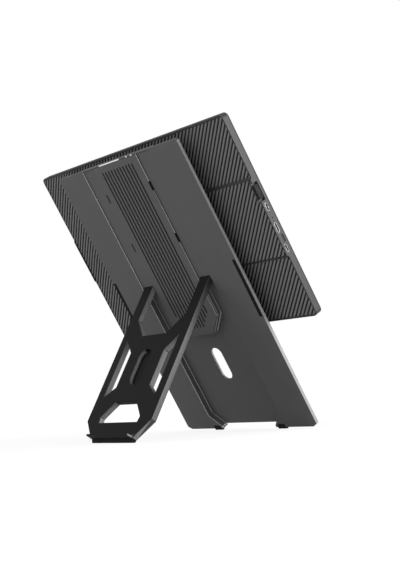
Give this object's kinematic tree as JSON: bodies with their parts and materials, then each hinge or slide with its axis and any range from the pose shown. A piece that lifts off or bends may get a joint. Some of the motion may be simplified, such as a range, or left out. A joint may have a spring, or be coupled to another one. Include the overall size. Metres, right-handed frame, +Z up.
{
  "type": "portable monitor",
  "caption": "Thin portable monitor that slides up and turns between landscape and portrait on an upright plate with a folding forked kickstand.",
  "frame": {"origin": "middle of the bounding box on the desk, with the kickstand open and the display raised", "axes": "+Z up, the screen faces -Y and leans back, +X along the long side of the display"},
  "size_m": [0.354, 0.2104, 0.3277],
  "materials": {
    "plate_metal": "dark grey, blasted and anodised",
    "cover_metal": "dark grey, blasted and anodised",
    "front_sheet": "dark grey, anodised",
    "screw_steel": "plain steel",
    "bright_steel": "polished steel",
    "grip_rubber": "matt black",
    "foot_rubber": "matt black",
    "rail_steel": "plain steel",
    "washer_bronze": "bronze",
    "carriage_metal": "milled",
    "glide_plastic": "white acetal",
    "hub_metal": "turned",
    "shell_metal": "dark grey, blasted and anodised",
    "rib_plastic": "dark grey moulded ribs",
    "bezel_plastic": "black",
    "screen_glass": "clear over a black picture",
    "cell_glass": "liquid crystal cell",
    "light_guide": "light guide and films",
    "back_sheet": "thin sheet",
    "board_green": "green board with dark chips",
    "socket_steel": "bright socket shell",
    "switch_plastic": "dark",
    "speaker_plastic": "dark",
    "key_plastic": "black",
    "kick_metal": "black, anodised"
  },
  "bodies": {
    "stand": {"back_plate": "plate_metal", "groove_cover": "cover_metal", "front_cover": "front_sheet", "cover_screws": "screw_steel", "top_latches": "bright_steel", "grip_left": "grip_rubber", "grip_right": "grip_rubber", "foot_left": "foot_rubber", "foot_right": "foot_rubber", "rail_left": "rail_steel", "rail_right": "rail_steel", "rail_screws": "screw_steel", "stop_buffers": "foot_rubber", "hinge_pins": "rail_steel", "hinge_washers": "washer_bronze"},
    "carriage": {"carriage": "carriage_metal", "glide_left": "glide_plastic", "glide_right": "glide_plastic", "thrust_washer": "glide_plastic", "turn_stop": "rail_steel", "spring_washer": "rail_steel"},
    "display": {"swivel_hub": "hub_metal", "shaft_nut": "hub_metal", "hub_screws": "screw_steel", "rear_shell": "shell_metal", "rib_panel_top": "rib_plastic", "rib_panel_middle": "rib_plastic", "rib_panel_bottom": "rib_plastic", "bezel_frame": "bezel_plastic", "cover_glass": "screen_glass", "lcd_cell": "cell_glass", "backlight": "light_guide", "panel_back": "back_sheet", "main_board": "board_green", "usb_c_upper": "socket_steel", "usb_c_lower": "socket_steel", "mini_hdmi": "socket_steel", "key_switches": "switch_plastic", "speaker_left": "speaker_plastic", "speaker_right": "speaker_plastic", "rocker_pin": "rail_steel"},
    "rocker": {"rocker_key": "key_plastic"},
    "power": {"power_key": "key_plastic"},
    "kickstand": {"kick_plate": "kick_metal", "kick_foot": "foot_rubber"}
  },
  "joints": [
    {"name": "lift_slide", "type": "slide", "parent": "stand", "child": "carriage", "axis": [0, 0.4848, 0.8746], "range_m": [-0.065, 0]},
    {"name": "turn", "type": "hinge", "parent": "carriage", "child": "display", "pos_m": [0, 0.00945, 0.21898], "axis": [0, 0.8746, -0.4848], "range_deg": [0, 90]},
    {"name": "kickstand_hinge", "type": "hinge", "parent": "stand", "child": "kickstand", "pos_m": [0, -0.00633, 0.17399], "axis": [1, 0, 0], "range_deg": [-60, 0]},
    {"name": "rocker_tilt", "type": "hinge", "parent": "display", "child": "rocker", "pos_m": [-0.1746, 0.01798, 0.24775], "axis": [0, 0.8746, -0.4848], "range_deg": [-3, 3], "stiffness_Nm_per_rad": 0.12},
    {"name": "power_press", "type": "slide", "parent": "display", "child": "power", "axis": [1, 0, 0], "range_m": [0, 0.0004], "stiffness_N_per_m": 1500, "springref_m": -0.0004}
  ]
}
